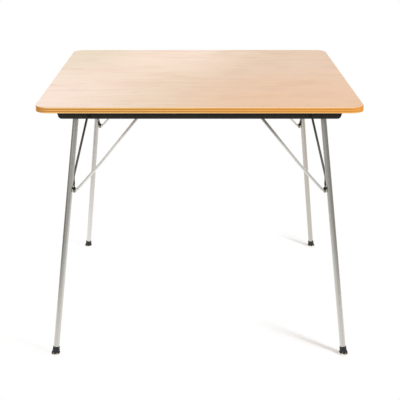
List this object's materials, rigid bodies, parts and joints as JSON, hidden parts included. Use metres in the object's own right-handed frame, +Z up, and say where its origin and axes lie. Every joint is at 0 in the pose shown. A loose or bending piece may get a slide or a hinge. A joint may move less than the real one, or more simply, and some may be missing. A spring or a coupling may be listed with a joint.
{
  "type": "folding card table",
  "caption": "Square plywood table on splayed tube legs that fold flat under the top, each held open by a side strut and a lock brace.",
  "frame": {"origin": "on the floor under the centre of the top", "axes": "+X to the right along the rails, +Y from the front edge to the rear edge, +Z up out of the playing surface"},
  "size_m": [0.864, 0.864, 0.724],
  "materials": {
    "birch_plywood": "clear satin varnish over birch face veneer",
    "black_rail": "satin black paint on hardwood",
    "zinc_tube": "dull zinc plate",
    "zinc_rod": "zinc plate",
    "blackened_steel": "blackened steel",
    "stamped_steel": "zinc-plated sheet steel",
    "screw_steel": "bright zinc screws",
    "black_rubber": "moulded black rubber",
    "nickel_glide": "polished nickel"
  },
  "bodies": {
    "tabletop": {"bracket_screws": "screw_steel", "clip_screws": "screw_steel", "front_left_hinge_rod": "zinc_rod", "front_left_inner_hinge_bracket": "stamped_steel", "front_left_keeper": "stamped_steel", "front_left_outer_hinge_bracket": "stamped_steel", "front_left_rail_clip": "stamped_steel", "front_rail": "black_rail", "front_right_hinge_rod": "zinc_rod", "front_right_inner_hinge_bracket": "stamped_steel", "front_right_keeper": "stamped_steel", "front_right_outer_hinge_bracket": "stamped_steel", "front_right_rail_clip": "stamped_steel", "keeper_screws": "screw_steel", "rail_bolts": "blackened_steel", "rail_nuts": "blackened_steel", "rail_screws": "screw_steel", "rear_left_hinge_rod": "zinc_rod", "rear_left_inner_hinge_bracket": "stamped_steel", "rear_left_keeper": "stamped_steel", "rear_left_outer_hinge_bracket": "stamped_steel", "rear_left_rail_clip": "stamped_steel", "rear_rail": "black_rail", "rear_right_hinge_rod": "zinc_rod", "rear_right_inner_hinge_bracket": "stamped_steel", "rear_right_keeper": "stamped_steel", "rear_right_outer_hinge_bracket": "stamped_steel", "rear_right_rail_clip": "stamped_steel", "table_top": "birch_plywood"},
    "front_left_leg": {"front_left_leg_tube": "zinc_tube", "front_left_hinge_tube": "zinc_tube", "front_left_side_strut": "zinc_rod", "front_left_pin_washers": "blackened_steel", "front_left_foot_boot": "black_rubber", "front_left_foot_glide": "nickel_glide"},
    "front_left_brace": {"front_left_lock_brace": "zinc_rod"},
    "front_right_leg": {"front_right_leg_tube": "zinc_tube", "front_right_hinge_tube": "zinc_tube", "front_right_side_strut": "zinc_rod", "front_right_pin_washers": "blackened_steel", "front_right_foot_boot": "black_rubber", "front_right_foot_glide": "nickel_glide"},
    "front_right_brace": {"front_right_lock_brace": "zinc_rod"},
    "rear_left_leg": {"rear_left_leg_tube": "zinc_tube", "rear_left_hinge_tube": "zinc_tube", "rear_left_side_strut": "zinc_rod", "rear_left_pin_washers": "blackened_steel", "rear_left_foot_boot": "black_rubber", "rear_left_foot_glide": "nickel_glide"},
    "rear_left_brace": {"rear_left_lock_brace": "zinc_rod"},
    "rear_right_leg": {"rear_right_leg_tube": "zinc_tube", "rear_right_hinge_tube": "zinc_tube", "rear_right_side_strut": "zinc_rod", "rear_right_pin_washers": "blackened_steel", "rear_right_foot_boot": "black_rubber", "rear_right_foot_glide": "nickel_glide"},
    "rear_right_brace": {"rear_right_lock_brace": "zinc_rod"}
  },
  "joints": [
    {"name": "front_left_leg_fold", "type": "hinge", "parent": "tabletop", "child": "front_left_leg", "pos_m": [-0.333, -0.32657, 0.696], "axis": [1, 0, 0], "range_deg": [0, 96.5]},
    {"name": "front_left_brace_turn", "type": "hinge", "parent": "front_left_leg", "child": "front_left_brace", "pos_m": [-0.3457, -0.35557, 0.474], "axis": [1, 0, 0], "range_deg": [-152, 0]},
    {"name": "front_right_leg_fold", "type": "hinge", "parent": "tabletop", "child": "front_right_leg", "pos_m": [0.333, -0.32657, 0.696], "axis": [1, 0, 0], "range_deg": [0, 96.5]},
    {"name": "front_right_brace_turn", "type": "hinge", "parent": "front_right_leg", "child": "front_right_brace", "pos_m": [0.3457, -0.35557, 0.474], "axis": [1, 0, 0], "range_deg": [-152, 0]},
    {"name": "rear_left_leg_fold", "type": "hinge", "parent": "tabletop", "child": "rear_left_leg", "pos_m": [-0.333, 0.32657, 0.696], "axis": [-1, 0, 0], "range_deg": [0, 93]},
    {"name": "rear_left_brace_turn", "type": "hinge", "parent": "rear_left_leg", "child": "rear_left_brace", "pos_m": [-0.3457, 0.35557, 0.474], "axis": [-1, 0, 0], "range_deg": [-150, 0]},
    {"name": "rear_right_leg_fold", "type": "hinge", "parent": "tabletop", "child": "rear_right_leg", "pos_m": [0.333, 0.32657, 0.696], "axis": [-1, 0, 0], "range_deg": [0, 93]},
    {"name": "rear_right_brace_turn", "type": "hinge", "parent": "rear_right_leg", "child": "rear_right_brace", "pos_m": [0.3457, 0.35557, 0.474], "axis": [-1, 0, 0], "range_deg": [-150, 0]}
  ],
  "couplings": [
    {"joint": "front_left_brace_turn", "follows": "front_left_leg_fold", "ratio": -1.5751},
    {"joint": "front_right_brace_turn", "follows": "front_right_leg_fold", "ratio": -1.5751},
    {"joint": "rear_left_brace_turn", "follows": "rear_left_leg_fold", "ratio": -1.6129},
    {"joint": "rear_right_brace_turn", "follows": "rear_right_leg_fold", "ratio": -1.6129}
  ]
}
